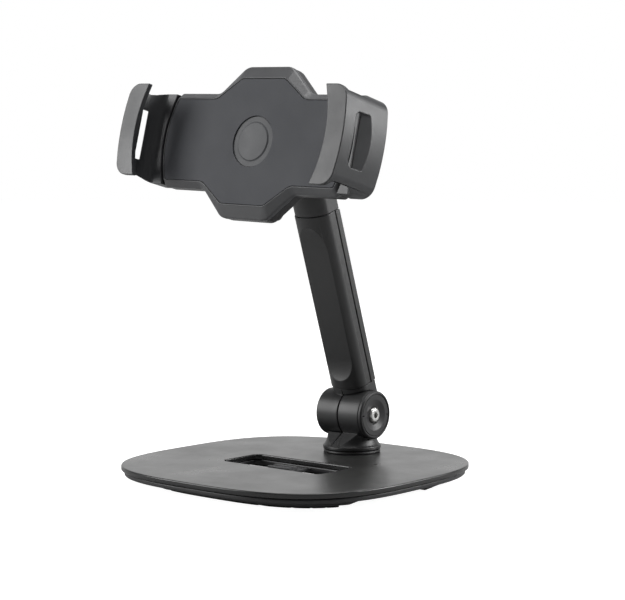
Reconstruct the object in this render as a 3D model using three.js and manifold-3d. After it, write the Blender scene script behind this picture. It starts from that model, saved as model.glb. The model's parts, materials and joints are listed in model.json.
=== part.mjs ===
// A desktop tablet and phone holder: a spring clamp on a tilting arm, on a weighted base plate.
// Millimetres, +Z up. The origin is on the floor under the middle of the base; the front is -Y.
import * as THREE from 'three';
import { mergeVertices } from 'three/addons/utils/BufferGeometryUtils.js';
import Module from 'manifold-3d';

const wasm = await Module();
wasm.setup();

// ---------- driving dimensions ----------
const GAP = 0.3; // clearance between separate pieces
const FLOOR_PAD = 1.2; // rubber foot pads under the rails
const RAIL_FOOT = 1.5; // underside of the foot rails
const RAIL_TOP = 5.0;
const TRAY_BOTTOM = 5.3;
const TRAY_TOP = 8.2;
const PLATE_BOTTOM = 8.5;
const PLATE_TOP = 11.5;
const BASE_HALF = [92.5, 91]; // half width and half depth of the plate
const BASE_POWER = 3.04; // superellipse power of the base outline
const TRAY_INSET = 1.7;
const RAIL_HALF_TOP = [86, 84];
const RAIL_HALF_FOOT = [81, 75.5];
const FRONT_RAIL_END = -43; // where the front rail stops at the floor
const REAR_RAIL_START = 22;
const SLOT = { x: 0.5, y: -8.5, width: 75.7, depth: 32.4, corner: 4.5 };
const POST_Y = 53.6;
const WEIGHT = { half: 44, low: 3, high: 4.9, front: [-66, -48], rear: [28, 42] };

const HINGE_Z = 35.4; // lower hinge centre above the floor
const DRUM_R = 14.5;
const DRUM_END = 17;
const UPPER_DRUM_R = 13;
const PIN_R = 2.5;
const PIN_BORE_R = 2.8;
const NUT_POCKET_R = 5.8;
const NUT_POCKET_END = 9.3;
const WASHER_RECESS = 1.0;

const ARM_LEAN = 18.5; // degrees forward of upright
const ARM_LENGTH = 165; // hinge to hinge
const ARM_HALF_WIDTH = 13;
const ARM_BACK = 13.5;
const ARM_SHOULDER = 4; // where the flat sides meet the bowed front
const ARM_BOW = 9;
const TUBE_START = 18;
const TUBE_END = 129;
const SHELL_BACK = 4.6;
const FRAME_BACK = 9.0;
const FLAT = { start: 23.5, end: 123, depth: 3.3, lowRunOut: 13, highRunOut: 17 };
const CORE_BAR = { halfWidth: 9, front: 0.2, back: 3.2, clearance: 0.4 };

const HOLDER_TILT = 12.6; // degrees that the pad's face looks up
const HOLDER_SPIN = -2.6; // degrees about the pad's own normal
const HINGE_TO_PAD = 39.8;
const PAD_THICK = 1.2;
const BEVEL_FOOT = -3.8;
const SHELL_SPLIT = -6.2; // underside of the front frame
const ARM_SHELL_BACK = -13.5;
const POD_BACK = -18;
const SHELL_WALL = 2.2;
// Outlines of the pad and of the housing, as one quarter: heights, corner places, radii.
const PAD_LINE = { top: 36.7, corner: 16.5, arm: 24.4, neck: 34, end: 70, bow: 5, r1: 6, r2: 9, r3: 2.2 };
const HOUSING_LINE = {
  top: 44.8, corner: 17.2, arm: 28.7, neck: 35, end: 72.5, bow: 5.2, r1: 9, r2: 8, r3: 2.6 };
const RING_R = 15;
const BUTTON_R = 10.8;

const JAW = { half: 27.5, outer: 85.6, bow: 3.2, front: 23.5, back: -13.5, lip: 3, wall: 4, corner: 8.5 };
const JAW_FLOOR = -0.6;
const WINDOW = { half: 15, front: 14.2, sill: 7.6, heel: -1 };
const GUIDE = { inner: 14.5, outer: 21.5, reach: 34, front: -7.3, back: -10.9 };
const GEAR = { teeth: 12, module: 1, addendum: 0.95, dedendum: 1.15, front: -7.5, back: -10.7 };
const RACK_ADDENDUM = 0.7;
const RACK_DEPTH = 1.3;
const RACK_BACKLASH = 0.42;
const RACK_REACH = 38;

// ---------- colours ----------
const paint = (color, roughness, metalness = 0) => ({ color, roughness, metalness });
const POWDER_COAT = paint(0x232425, 0.42, 0.3);
const SATIN_BLACK = paint(0x1d1e20, 0.4);
const SOFT_BLACK = paint(0x37383b, 0.7);
const LIP_GREY = paint(0x46474a, 0.55);
const RUBBER = paint(0x18181a, 0.9);
const STEEL = paint(0xb9bbbd, 0.28, 1);
const DARK_STEEL = paint(0x4a4c4f, 0.4, 1);
const NYLON = paint(0xd8d6cf, 0.6);

// ---------- solids ----------
// A closed mesh with shared corners, turned so that its faces point out.
function closed(geometry) {
  const bare = geometry.index ? geometry.toNonIndexed() : geometry.clone();
  bare.deleteAttribute('normal');
  bare.deleteAttribute('uv');
  const merged = mergeVertices(bare, 1e-4);
  const index = [...merged.index.array];
  const keep = [];
  for (let i = 0; i < index.length; i += 3) {
    const [a, b, c] = index.slice(i, i + 3);
    if (a !== b && b !== c && c !== a) keep.push(a, b, c);
  }
  const place = merged.attributes.position;
  const [p, q, r] = [new THREE.Vector3(), new THREE.Vector3(), new THREE.Vector3()];
  let volume = 0;
  for (let i = 0; i < keep.length; i += 3) {
    p.fromBufferAttribute(place, keep[i]);
    q.fromBufferAttribute(place, keep[i + 1]);
    r.fromBufferAttribute(place, keep[i + 2]);
    volume += p.dot(q.cross(r));
  }
  if (volume < 0) keep.reverse();
  merged.setIndex(keep);
  return merged;
}

function toSolid(geometry) {
  const mesh = closed(geometry);
  return new wasm.Manifold(new wasm.Mesh({
    numProp: 3,
    vertProperties: mesh.attributes.position.array,
    triVerts: new Uint32Array(mesh.index.array),
  }));
}

function toGeometry(solid) {
  const mesh = solid.getMesh();
  const geometry = new THREE.BufferGeometry();
  geometry.setAttribute('position', new THREE.BufferAttribute(mesh.vertProperties, 3));
  geometry.setIndex(new THREE.BufferAttribute(mesh.triVerts, 1));
  return geometry;
}

const cut = (body, ...tools) =>
  toGeometry(tools.reduce((left, tool) => left.subtract(toSolid(tool)), toSolid(body)));
const join = (body, ...more) =>
  toGeometry(more.reduce((whole, piece) => whole.add(toSolid(piece)), toSolid(body)));
const overlap = (a, b) => toGeometry(toSolid(a).intersect(toSolid(b)));

// ---------- shapes ----------
function block(x0, x1, y0, y1, z0, z1) {
  return new THREE.BoxGeometry(x1 - x0, y1 - y0, z1 - z0)
    .translate((x0 + x1) / 2, (y0 + y1) / 2, (z0 + z1) / 2);
}

// A round bar along +Z from z0 to z1.
function rod(radius, z0, z1, sides = 20) {
  return new THREE.CylinderGeometry(radius, radius, z1 - z0, sides)
    .rotateX(Math.PI / 2).translate(0, 0, (z0 + z1) / 2);
}

// The same along +X.
const barX = (radius, x0, x1, sides = 20) => rod(radius, x0, x1, sides).rotateY(Math.PI / 2);

// A turned piece about Z from a list of [radius, height]; it closes on itself.
function turned(profile, sides = 24) {
  const points = profile.map(([radius, height]) => new THREE.Vector2(radius, height));
  const onAxis = profile[0][0] === 0 && profile.at(-1)[0] === 0;
  if (!onAxis) points.push(points[0].clone());
  return closed(new THREE.LatheGeometry(points, sides).rotateX(Math.PI / 2));
}

const ring = (outer, inner, z0, z1, sides = 20) =>
  turned([[inner, z0], [outer, z0], [outer, z1], [inner, z1]], sides);

// A flat piece of the given outline from z0 to z1, with an optional edge bevel inside the outline.
function sheet(outline, z0, z1, bevel = 0, bevelSteps = 2) {
  const shape = outline instanceof THREE.Shape ? outline : new THREE.Shape(outline);
  return closed(new THREE.ExtrudeGeometry(shape, {
    depth: z1 - z0 - 2 * bevel,
    bevelEnabled: bevel > 0,
    bevelSize: bevel,
    bevelThickness: bevel,
    bevelOffset: -bevel,
    bevelSegments: bevelSteps,
    curveSegments: 4,
  }).translate(0, 0, z0 + bevel));
}

// A prism along X from x0 to x1 whose section is a list of [y, z].
function prismX(section, x0, x1) {
  const outline = section.map(([y, z]) => new THREE.Vector2(y, z));
  return sheet(outline, x0, x1).rotateZ(Math.PI / 2).rotateY(Math.PI / 2);
}

// A prism along Y from y0 to y1 whose section is a list of [x, z].
function prismY(section, y0, y1) {
  const outline = section.map(([x, z]) => new THREE.Vector2(x, z));
  return sheet(outline, -y1, -y0).rotateX(Math.PI / 2);
}

function roundedRect(x, y, width, depth, corner) {
  const [w, d] = [width / 2, depth / 2];
  const shape = new THREE.Shape();
  shape.absarc(x + w - corner, y - d + corner, corner, -Math.PI / 2, 0);
  shape.absarc(x + w - corner, y + d - corner, corner, 0, Math.PI / 2);
  shape.absarc(x - w + corner, y + d - corner, corner, Math.PI / 2, Math.PI);
  shape.absarc(x - w + corner, y - d + corner, corner, Math.PI, Math.PI * 1.5);
  return shape;
}

// A superellipse: a square whose corners and sides are one smooth curve.
function superellipse([a, b], count = 56) {
  const points = [];
  for (let i = 0; i < count; i += 1) {
    const turn = (i / count) * 2 * Math.PI;
    const [c, s] = [Math.cos(turn), Math.sin(turn)];
    const x = a * Math.sign(c) * Math.abs(c) ** (2 / BASE_POWER);
    const y = b * Math.sign(s) * Math.abs(s) ** (2 / BASE_POWER);
    points.push(new THREE.Vector2(x, y));
  }
  return points;
}

// A solid through closed loops of equal length, each a list of points with its height.
function loft(loops) {
  const count = loops[0].points.length;
  const position = loops.flatMap(({ points, z }) => points.flatMap((p) => [p.x, p.y, z]));
  const index = [];
  for (let row = 0; row < loops.length - 1; row += 1) {
    for (let i = 0; i < count; i += 1) {
      const [a, b] = [row * count + i, row * count + ((i + 1) % count)];
      index.push(a, b, b + count, a, b + count, a + count);
    }
  }
  for (const [row, flip] of [[0, true], [loops.length - 1, false]]) {
    for (const [a, b, c] of THREE.ShapeUtils.triangulateShape(loops[row].points, [])) {
      const start = row * count;
      index.push(start + a, start + (flip ? c : b), start + (flip ? b : c));
    }
  }
  const geometry = new THREE.BufferGeometry();
  geometry.setAttribute('position', new THREE.Float32BufferAttribute(position, 3));
  geometry.setIndex(index);
  return closed(geometry);
}

// The points of a rounded corner between two straight lines.
function corner(before, at, after, radius, steps = 3) {
  const inward = before.clone().sub(at).normalize();
  const outward = after.clone().sub(at).normalize();
  const half = Math.acos(THREE.MathUtils.clamp(inward.dot(outward), -1, 1)) / 2;
  const reach = radius / Math.tan(half);
  const centre = inward.clone().add(outward).normalize()
    .multiplyScalar(radius / Math.sin(half)).add(at);
  const first = inward.multiplyScalar(reach).add(at).sub(centre);
  const last = outward.multiplyScalar(reach).add(at).sub(centre);
  const sweep = Math.atan2(first.cross(last), first.dot(last));
  const points = [];
  for (let i = 0; i <= steps; i += 1) {
    points.push(first.clone().rotateAround(new THREE.Vector2(), (sweep * i) / steps).add(centre));
  }
  return points;
}

// The holder's outline: a wide middle, sloping shoulders, two arms with bowed ends.
function holderOutline(line, grow = 0) {
  const { top, corner: cornerX, arm, neck, end, bow, r1, r2, r3 } = line;
  const v = (x, y) => new THREE.Vector2(x, y);
  const shoulder = v(cornerX + grow * 0.4, top + grow);
  const crook = v(neck + grow * 0.4, arm + grow);
  const tip = v(end + grow - bow, arm + grow);
  const endX = (y) => end + grow - bow * (y / (arm + grow)) ** 2;
  const low = v(endX(arm * 0.8), arm * 0.8);
  const quarter = [
    ...corner(v(0, top + grow), shoulder, crook, r1 + grow),
    ...corner(shoulder, crook, tip, r2),
    ...corner(crook, tip, low, r3),
  ];
  for (const y of [0.62, 0.4, 0.2]) quarter.push(v(endX(y * arm), y * arm));
  const lower = [...quarter].reverse().map((p) => v(p.x, -p.y));
  const right = [...quarter, v(end + grow, 0), ...lower];
  const left = [...right].reverse().map((p) => v(-p.x, p.y));
  return [...right, ...left].reverse();
}

// The arm's section between two depths: bowed front, flat sides, flat back.
function armSection(front, back, inset = 0) {
  const half = ARM_HALF_WIDTH - inset;
  const bow = ARM_BOW - inset;
  const halfAt = (y) => (y >= ARM_SHOULDER ? half
    : half * Math.sqrt(Math.max(0, 1 - ((ARM_SHOULDER - y) / bow) ** 2)));
  const depths = [back];
  if (front < ARM_SHOULDER) {
    const start = Math.asin(Math.min(1, (ARM_SHOULDER - front) / bow));
    for (let i = 0; i <= 10; i += 1) depths.push(ARM_SHOULDER - bow * Math.sin((start * i) / 10));
  } else {
    depths.push(front);
  }
  const right = depths.map((y) => new THREE.Vector2(halfAt(y), y));
  const left = [...right].reverse().map((p) => new THREE.Vector2(-p.x, p.y));
  return [...right, ...left.filter((p) => p.x < 0)];
}

// ---------- placing ----------
const root = new THREE.Group();
const post = new THREE.Group();
const arm = new THREE.Group();
const bracket = new THREE.Group();
const holder = new THREE.Group();
root.add(post);
post.position.set(0, POST_Y, 0);
post.add(arm);
arm.position.set(0, 0, HINGE_Z);
arm.rotation.x = THREE.MathUtils.degToRad(ARM_LEAN);
arm.add(bracket);
bracket.position.set(0, 0, ARM_LENGTH);
bracket.rotation.x = THREE.MathUtils.degToRad(90 - HOLDER_TILT - ARM_LEAN);
bracket.add(holder);
holder.position.set(0, 0, HINGE_TO_PAD);
holder.rotation.z = THREE.MathUtils.degToRad(HOLDER_SPIN);

function add(group, name, geometry, look) {
  const shaded = geometry.toNonIndexed();
  shaded.computeVertexNormals();
  const mesh = new THREE.Mesh(shaded, new THREE.MeshStandardMaterial(look));
  mesh.name = name;
  group.add(mesh);
  return mesh;
}

// ---------- base ----------
const SCREW_PLACES = [[-52, -56], [52, -56], [-52, 56], [52, 56]];

const slotHole = (grow, z0, z1) =>
  sheet(roundedRect(SLOT.x, SLOT.y, SLOT.width + grow, SLOT.depth + grow, SLOT.corner), z0, z1);

function basePlate() {
  const blank = sheet(superellipse(BASE_HALF), PLATE_BOTTOM, PLATE_TOP, 0.8, 1);
  const holes = SCREW_PLACES.map(([x, y]) => rod(2, PLATE_BOTTOM - 1, 10.4, 16).translate(x, y, 0));
  const boltHole = rod(4.4, 0, 20).translate(0, POST_Y, 0);
  return cut(blank, slotHole(0, 0, 20), boltHole, ...holes);
}

function baseTray() {
  const half = BASE_HALF.map((h) => h - TRAY_INSET);
  const blank = sheet(superellipse(half), TRAY_BOTTOM, TRAY_TOP, 0.9, 1);
  const holes = SCREW_PLACES.map(([x, y]) => rod(2, 0, 10, 16).translate(x, y, 0));
  const boltHole = rod(8.5, 0, 20).translate(0, POST_Y, 0);
  return cut(blank, slotHole(0.8, 0, 20), boltHole, ...holes);
}

// A foot rail follows the base outline at one end of the base; its two ends are chamfered.
function footRail(side, inner) {
  const whole = loft([
    { points: superellipse(RAIL_HALF_FOOT.map((h) => h - 1)), z: RAIL_FOOT },
    { points: superellipse(RAIL_HALF_FOOT), z: RAIL_FOOT + 0.8 },
    { points: superellipse(RAIL_HALF_TOP), z: RAIL_TOP },
  ]);
  const rise = RAIL_TOP - RAIL_FOOT;
  const keep = prismX([
    [inner, RAIL_FOOT - 1], [inner, RAIL_FOOT], [inner - side * rise, RAIL_TOP],
    [inner - side * rise, RAIL_TOP + 1], [side * 100, RAIL_TOP + 1], [side * 100, RAIL_FOOT - 1],
  ], -100, 100);
  const places = SCREW_PLACES.filter(([, y]) => y * side > 0);
  const screws = places.flatMap(([x, y]) => [
    rod(2, 0, 10, 16).translate(x, y, 0),
    rod(4, 0, 3.6, 20).translate(x, y, 0),
  ]);
  return cut(overlap(whole, keep), ...screws);
}

// A steel weight lies in a pocket of each rail, clear of it all round.
const weight = ([y0, y1]) => block(-WEIGHT.half, WEIGHT.half, y0, y1, WEIGHT.low, WEIGHT.high);
const weightPocket = ([y0, y1]) =>
  block(-WEIGHT.half - GAP, WEIGHT.half + GAP, y0 - GAP, y1 + GAP, WEIGHT.low - GAP, RAIL_TOP + 4);

function frontRail() {
  return cut(footRail(-1, FRONT_RAIL_END), weightPocket(WEIGHT.front));
}

function rearRail() {
  const boltPocket = rod(9, 2.4, 9).translate(0, POST_Y, 0);
  return cut(footRail(1, REAR_RAIL_START), weightPocket(WEIGHT.rear), boltPocket);
}

function footPad(side, inner) {
  const whole = sheet(superellipse(RAIL_HALF_FOOT.map((h) => h - 3)), 0, FLOOR_PAD, 0.3, 1);
  const keep = side < 0 ? block(-100, 100, -100, inner, -1, 3) : block(-100, 100, inner, 100, -1, 3);
  return overlap(whole, keep);
}

// The clip bridges the slot under the plate and stands up in its middle.
function cableClip() {
  const bridge = block(-12, 5, SLOT.y - 15.8, SLOT.y + 15.8, TRAY_BOTTOM + 0.2, 7.2);
  const hook = cut(
    sheet(roundedRect(-3.5, -8, 17, 9, 1.5), 6.8, 9.6, 0.4, 1),
    barX(1.4, -13, 6, 16).translate(0, -8, 9.4),
  );
  return join(bridge, hook);
}

function baseScrew() {
  return turned([[0, 1.8], [3.2, 1.8], [3.2, 3.3], [1.6, 3.3], [1.6, 10.1], [0, 10.1]], 12);
}

function addBase() {
  add(root, 'base_plate', basePlate(), POWDER_COAT);
  add(root, 'base_tray', baseTray(), SATIN_BLACK);
  add(root, 'front_foot_rail', frontRail(), SATIN_BLACK);
  add(root, 'rear_foot_rail', rearRail(), SATIN_BLACK);
  add(root, 'front_foot_pad', footPad(-1, FRONT_RAIL_END - 3), RUBBER);
  add(root, 'rear_foot_pad', footPad(1, REAR_RAIL_START + 3), RUBBER);
  add(root, 'front_weight', weight(WEIGHT.front), DARK_STEEL);
  add(root, 'rear_weight', weight(WEIGHT.rear), DARK_STEEL);
  add(root, 'cable_clip', cableClip(), SOFT_BLACK);
  SCREW_PLACES.forEach(([x, y], i) => {
    add(root, `base_screw_${i + 1}`, baseScrew(), DARK_STEEL).position.set(x, y, 0);
  });
  const seat = turned([
    [4.6, 11.8], [17.4, 11.8], [17.6, 12], [17.6, 12.9], [17.2, 13.3], [4.6, 13.3]], 28);
  add(root, 'post_seat_ring', seat, SATIN_BLACK).position.set(0, POST_Y, 0);
  const springWasher = turned([[4.4, 7.4], [7.2, 7.7], [7.2, 8.2], [4.4, 7.9]], 16);
  add(root, 'swivel_spring_washer', springWasher, STEEL).position.set(0, POST_Y, 0);
}

// ---------- hinge hardware, the same at both ends of the arm ----------
// One half drum of a hinge, from x0 to x1 along X, with small edge chamfers.
function drum(radius, x0, x1) {
  const edge = 0.5;
  return turned([
    [0, x0], [radius - edge, x0], [radius, x0 + edge],
    [radius, x1 - edge], [radius - edge, x1], [0, x1],
  ], 24).rotateY(Math.PI / 2);
}

const screwBore = () => barX(PIN_BORE_R, -30, 30, 24);
const nutPocket = () => barX(NUT_POCKET_R, -DRUM_END - 5, -NUT_POCKET_END, 28);
const washerRecess = () => barX(10.4, -5, GAP / 2 + WASHER_RECESS);

function pivotScrew() {
  const body = turned([
    [0, -15], [PIN_R, -15], [PIN_R, 16.3], [4.75, 16.3], [4.75, 17.2],
    [4.2, 18.2], [3, 18.7], [0, 18.7],
  ], 24).rotateY(Math.PI / 2);
  const socket = barX(1.75, 17.2, 20, 6);
  return cut(body, socket);
}

function discCap(radius) {
  const flat = radius - 2;
  const disc = turned([
    [5.35, 16.3], [radius, 16.3], [radius, 17.8], [radius - 0.9, 18.7],
    [flat + 0.3, 18.7], [flat + 0.2, 18.1], [flat - 0.2, 18.1], [flat - 0.3, 18.5],
    [radius - 5.4, 18.5], [5.9, 17.2], [5.35, 17.2],
  ], 24).rotateY(Math.PI / 2);
  const pinHoles = [1, -1].map((side) => barX(0.55, 17.7, 20, 10)
    .translate(0, side * (flat - 1.2), side * 0.6));
  return cut(disc, ...pinHoles);
}

function hexNut() {
  return cut(barX(5.3, -14.6, -9.6, 6), screwBore());
}

function endPlug() {
  return turned([[0, -17], [5.1, -17], [5.5, -16.6], [5.5, -15.4], [0, -15.4]], 20)
    .rotateY(Math.PI / 2);
}

function frictionWasher() {
  return ring(10.1, PIN_BORE_R, 0.1, 0.85, 20).rotateY(Math.PI / 2);
}

// The screw, cap and washer stay with the half at +X; the nut and plug with the half at -X.
function addHinge(name, right, left, radius) {
  add(right, `${name}_pivot_screw`, pivotScrew(), STEEL);
  add(right, `${name}_disc_cap`, discCap(radius), SATIN_BLACK);
  add(right, `${name}_friction_washer`, frictionWasher(), NYLON);
  add(left, `${name}_pivot_nut`, hexNut(), DARK_STEEL);
  add(left, `${name}_end_plug`, endPlug(), SATIN_BLACK);
}

// ---------- post ----------
function postBody() {
  const pedestal = turned([
    [0, 13.6], [17.4, 13.6], [17.9, 14.1], [17.9, 15.6], [17.3, 16.2], [16.6, 17.1],
    [15.8, 18.8], [15.2, 21], [14.9, 23.6], [14.8, 27.4], [0, 27.4],
  ], 28);
  // Sloping flats at the front and back blend the round foot into the drum.
  const flats = [-1, 1].map((side) => prismX([
    [side * 16.5, 16.8], [side * 9.5, 30], [side * 25, 30], [side * 25, 16.8]], -20, 20));
  const armSweep = barX(DRUM_R + 0.5, -20, GAP / 2, 28).translate(0, 0, HINGE_Z);
  const foot = cut(pedestal, ...flats, armSweep);
  const half = drum(DRUM_R, GAP / 2, DRUM_END - 1).translate(0, 0, HINGE_Z);
  const bores = [screwBore(), washerRecess()].map((b) => b.translate(0, 0, HINGE_Z));
  return cut(join(foot, half), ...bores, rod(4.4, 5, 19.5));
}

function addPost() {
  add(post, 'post', postBody(), SATIN_BLACK);
  const bolt = turned([[0, 3], [6.6, 3], [7, 3.4], [7, 7], [4, 7], [4, 19], [0, 19]], 16);
  add(post, 'swivel_bolt', cut(bolt, rod(2.9, 0, 5.2, 6)), DARK_STEEL);
  const hinge = new THREE.Group();
  hinge.position.set(0, 0, HINGE_Z);
  post.add(hinge);
  addHinge('lower', hinge, arm, DRUM_R + 0.3);
}

// ---------- arm ----------
// A knuckle: the half drum at -X and the neck that carries the tube, clear of the other half.
function knuckle(radius, neckFrom, neckTo, barFrom, barTo) {
  const neck = sheet(armSection(ARM_SHOULDER - ARM_BOW + 0.4, ARM_BACK - 0.4, 0.4), neckFrom, neckTo);
  const otherHalf = barX(radius + 0.6, GAP / -2, 30, 28);
  const half = drum(radius, -DRUM_END, GAP / -2);
  const { halfWidth, front, back } = CORE_BAR;
  const pocketHalf = halfWidth + GAP;
  const barPocket = block(-pocketHalf, pocketHalf, front - GAP, back + GAP, barFrom, barTo);
  return cut(join(cut(neck, otherHalf), half), screwBore(), nutPocket(), barPocket);
}

const lowerKnuckle = () => knuckle(DRUM_R, 4, TUBE_START - GAP, 15.9, TUBE_START);
const upperKnuckle = () =>
  knuckle(UPPER_DRUM_R, TUBE_END + GAP - ARM_LENGTH, -4, TUBE_END - ARM_LENGTH, TUBE_END + 8 - ARM_LENGTH);

// The bowed front of the tube, with the long flat milled into it.
function armFrontShell() {
  const blank = sheet(armSection(ARM_SHOULDER - ARM_BOW, SHELL_BACK), TUBE_START, TUBE_END, 0.4, 1);
  const channelHalf = CORE_BAR.halfWidth + CORE_BAR.clearance;
  const channelFront = CORE_BAR.front - CORE_BAR.clearance;
  const channel = block(-channelHalf, channelHalf, channelFront, SHELL_BACK + 1, 10, ARM_LENGTH);
  // The flat rises to the bowed front along an arc at each end.
  const crest = ARM_SHOULDER - ARM_BOW;
  const shares = [1, 0.85, 0.7, 0.55, 0.4, 0.2, 0];
  const rise = (share) => crest + FLAT.depth * (1 - share ** 2);
  const low = shares.map((share) => [rise(share), FLAT.start + FLAT.lowRunOut * (1 - share)]);
  const high = shares.map((share) => [rise(share), FLAT.end - FLAT.highRunOut * (1 - share)]);
  const flat = prismX([
    [crest - 5, FLAT.start], ...low, ...high.reverse(), [crest - 5, FLAT.end],
  ], -ARM_HALF_WIDTH - 5, ARM_HALF_WIDTH + 5);
  return cut(blank, channel, flat);
}

function armScrew() {
  return turned([[0, -14], [2.2, -14], [2.4, -13.6], [2.4, -12.6], [1.2, -12.6], [1.2, -3], [0, -3]], 12)
    .rotateX(Math.PI / 2);
}

const ARM_SCREWS = [40, 107];

function addArm() {
  const frame = sheet(armSection(SHELL_BACK + GAP, FRAME_BACK, 0.5), TUBE_START, TUBE_END);
  const cover = sheet(armSection(FRAME_BACK + GAP, ARM_BACK), TUBE_START, TUBE_END, 0.4, 1);
  const { halfWidth, front, back } = CORE_BAR;
  const bar = block(-halfWidth, halfWidth, front, back, 16.2, TUBE_END + 7.5);
  const clear = ARM_SCREWS.map((s) => rod(1.5, -30, 30, 16).rotateX(Math.PI / 2).translate(0, 0, s));
  const sink = ARM_SCREWS.map((s) => rod(2.7, 12, 30, 20).rotateX(-Math.PI / 2).translate(0, 0, s));
  add(arm, 'lower_knuckle', lowerKnuckle(), SATIN_BLACK);
  add(arm, 'arm_front_shell', armFrontShell(), SATIN_BLACK);
  add(arm, 'arm_frame', cut(frame, ...clear), SATIN_BLACK);
  add(arm, 'arm_rear_cover', cut(cover, ...clear, ...sink), SATIN_BLACK);
  add(arm, 'arm_core_bar', cut(bar, ...clear), DARK_STEEL);
  ARM_SCREWS.forEach((s, i) => {
    add(arm, `arm_screw_${i + 1}`, armScrew(), DARK_STEEL).position.set(0, 0, s);
  });
  add(arm, 'upper_knuckle', upperKnuckle().translate(0, 0, ARM_LENGTH), SATIN_BLACK);
  const top = new THREE.Group();
  top.position.set(0, 0, ARM_LENGTH);
  arm.add(top);
  addHinge('upper', bracket, top, UPPER_DRUM_R);
}

// ---------- bracket: tilts on the arm and carries the holder's spindle ----------
const FLANGE = { radius: 16.5, low: 15.2, top: 20.6 };

function tiltBracket() {
  const flange = turned([
    [0, FLANGE.low], [12, FLANGE.low], [FLANGE.radius, 17.6],
    [FLANGE.radius, 20.1], [FLANGE.radius - 0.5, FLANGE.top], [0, FLANGE.top]], 28);
  const web = block(GAP / 2, 11, -9, 9, 2, 18);
  const half = drum(UPPER_DRUM_R, GAP / 2, DRUM_END - 1);
  return cut(join(half, web, flange), screwBore(), washerRecess(), rod(PIN_BORE_R, 14, 22, 24));
}

function addBracket() {
  const shellBack = HINGE_TO_PAD + POD_BACK;
  add(bracket, 'tilt_bracket', tiltBracket(), SATIN_BLACK);
  add(bracket, 'spin_washer', ring(15.5, PIN_BORE_R, 20.9, shellBack - GAP, 24), NYLON);
  add(bracket, 'spindle_plate', ring(9, PIN_BORE_R, shellBack + 2.6, shellBack + 4), DARK_STEEL);
  const head = [shellBack + 4.3, shellBack + 6.8];
  const screw = turned([
    [0, 15.6], [PIN_R, 15.6], [PIN_R, head[0]], [4.6, head[0]], [4.6, head[1] - 0.5],
    [4.1, head[1]], [0, head[1]]], 16);
  add(bracket, 'spindle_screw', cut(screw, rod(1.75, head[1] - 1.6, 40, 6)), STEEL);
}

// ---------- holder ----------
const SHELL_SCREWS = [[-13, 33], [13, 33], [-13, -33], [13, -33]];

function frontFrame() {
  const blank = loft([
    { points: holderOutline(HOUSING_LINE), z: SHELL_SPLIT },
    { points: holderOutline(HOUSING_LINE), z: BEVEL_FOOT },
    { points: holderOutline(HOUSING_LINE, -0.5), z: BEVEL_FOOT + 0.8 },
    { points: holderOutline(PAD_LINE, 1.2), z: -0.35 },
    { points: holderOutline(PAD_LINE, 0.7), z: 0 },
  ]);
  const pocket = sheet(holderOutline(PAD_LINE, GAP), -PAD_THICK - GAP, 5);
  const pivot = rod(2.1, -10.4, -5, 24);
  const pilots = SHELL_SCREWS.map(([x, y]) => rod(1.5, -9, -2.6, 14).translate(x, y, 0));
  return cut(join(cut(blank, pocket), pivot), ...pilots);
}

function rearShell() {
  const back = ARM_SHELL_BACK;
  const outer = loft([
    { points: holderOutline(HOUSING_LINE, -2.2), z: back },
    { points: holderOutline(HOUSING_LINE, -0.2), z: back + 2.4 },
    { points: holderOutline(HOUSING_LINE, -0.2), z: SHELL_SPLIT - GAP },
  ]);
  const podLine = { ...HOUSING_LINE, arm: 22, neck: 30, end: 38, bow: 2, r2: 6, r3: 5 };
  const pod = loft([
    { points: holderOutline(podLine, -3.2), z: POD_BACK },
    { points: holderOutline(podLine, -1.2), z: back + 1 },
  ]);
  const podCavity = sheet(roundedRect(0, 0, 46, 46, 8), POD_BACK + SHELL_WALL, 0);
  const channel = block(-90, 90, -GUIDE.outer - GAP, GUIDE.outer + GAP, GUIDE.back - GAP, 0);
  const spindle = rod(4.2, -30, 0, 28);
  const screws = SHELL_SCREWS.flatMap(([x, y]) => [
    rod(1.9, -30, 0, 14).translate(x, y, 0),
    rod(3.4, -30, -10.5, 18).translate(x, y, 0),
  ]);
  return cut(join(outer, pod), podCavity, channel, spindle, ...screws);
}

function frontPad() {
  const blank = sheet(holderOutline(PAD_LINE), -PAD_THICK, 0, 0.2, 1);
  return cut(blank, rod(RING_R, -5, 5, 32));
}

// The button in the middle: a sunk ring round a raised disc with a sloping edge.
function centreCap() {
  return turned([
    [0, -PAD_THICK], [RING_R - GAP, -PAD_THICK], [RING_R - GAP, -0.75],
    [BUTTON_R + 0.7, -0.75], [BUTTON_R, -0.1], [0, -0.1]], 32);
}

function shellScrew() {
  return turned([[0, -13], [2.8, -13], [3, -12.7], [3, -10.8], [1.2, -10.8], [1.2, -3], [0, -3]], 12);
}

function addHolder() {
  add(holder, 'front_frame', frontFrame(), SOFT_BLACK);
  add(holder, 'rear_shell', rearShell(), SATIN_BLACK);
  add(holder, 'front_pad', frontPad(), SOFT_BLACK);
  add(holder, 'centre_cap', centreCap(), SOFT_BLACK);
  add(holder, 'return_spring', ring(4.8, 2.6, -7.1, -6.5), STEEL);
  SHELL_SCREWS.forEach(([x, y], i) => {
    add(holder, `shell_screw_${i + 1}`, shellScrew(), DARK_STEEL).position.set(x, y, 0);
  });
}

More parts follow.
